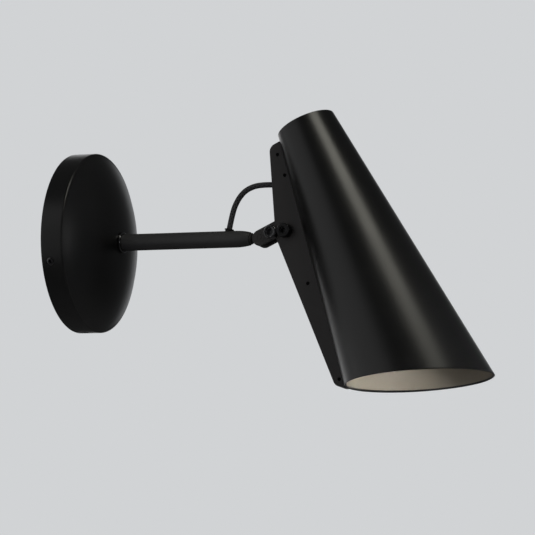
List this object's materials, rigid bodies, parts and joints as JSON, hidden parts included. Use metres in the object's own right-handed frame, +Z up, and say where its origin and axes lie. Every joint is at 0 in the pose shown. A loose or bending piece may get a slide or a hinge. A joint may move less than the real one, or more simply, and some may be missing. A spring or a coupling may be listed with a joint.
{
  "type": "pivoting spotlight wall light",
  "caption": "Wall spotlight: a round domed plate, a straight arm that swivels and a long tapered metal shade that tilts on a clamped joint.",
  "frame": {"origin": "centre of the wall plate, on the wall's surface", "axes": "+X straight out of the wall along the arm, +Z up, +Y level along the wall, away from the camera that took the picture"},
  "size_m": [0.2704, 0.11, 0.17],
  "materials": {
    "satin_black": "satin black powder coat",
    "black_steel": "black finished steel",
    "zinc_steel": "zinc plated, satin",
    "brass": "plain",
    "rubber": "matte black",
    "textile": "black woven covering",
    "nylon": "matte",
    "white_plastic": "matte white",
    "lead_insulation": "matte",
    "phenolic": "matte black",
    "cap_metal": "plain",
    "opal_glass": "opal white"
  },
  "bodies": {
    "wall": {"wall_canopy": "satin_black", "canopy_set_screws": "black_steel", "mounting_plate": "zinc_steel", "earth_screw": "zinc_steel", "earth_washer": "zinc_steel", "terminal_block": "white_plastic", "terminal_screws": "brass", "supply_leads": "lead_insulation", "swivel_bush": "satin_black", "bush_washer": "zinc_steel", "bush_nut": "zinc_steel"},
    "arm": {"arm_nut": "zinc_steel", "friction_washer": "nylon", "arm_tube": "satin_black", "arm_grommet": "rubber", "joint_stud": "satin_black", "cable_in_arm": "textile", "cable_loop": "textile"},
    "head": {"clamp_plate_near": "satin_black", "clamp_plate_far": "satin_black", "hinge_pin": "black_steel", "clamp_screw": "black_steel", "clamp_nut": "black_steel", "anchor_bolt": "black_steel", "anchor_nut": "black_steel", "anchor_spacer": "zinc_steel", "shade_cone": "satin_black", "spine_cover": "satin_black", "spine_screws": "black_steel", "spine_grommet": "rubber", "cable_in_head": "textile", "shade_top_plate": "satin_black", "holder_nipple": "zinc_steel", "holder_lock_nut": "black_steel", "lampholder_cap": "phenolic", "lampholder_body": "phenolic", "centre_contact": "brass", "lamp_cap": "cap_metal", "lamp_globe": "opal_glass"}
  },
  "joints": [
    {"name": "arm_swivel", "type": "hinge", "parent": "wall", "child": "arm", "pos_m": [0, 0, 0], "axis": [1, 0, 0], "range_deg": [-85, 95]},
    {"name": "head_tilt", "type": "hinge", "parent": "arm", "child": "head", "pos_m": [0.1218, 0, 0], "axis": [0, -0.9956, 0.0941], "range_deg": [-10, 35], "deforming": ["cable_loop"]}
  ]
}
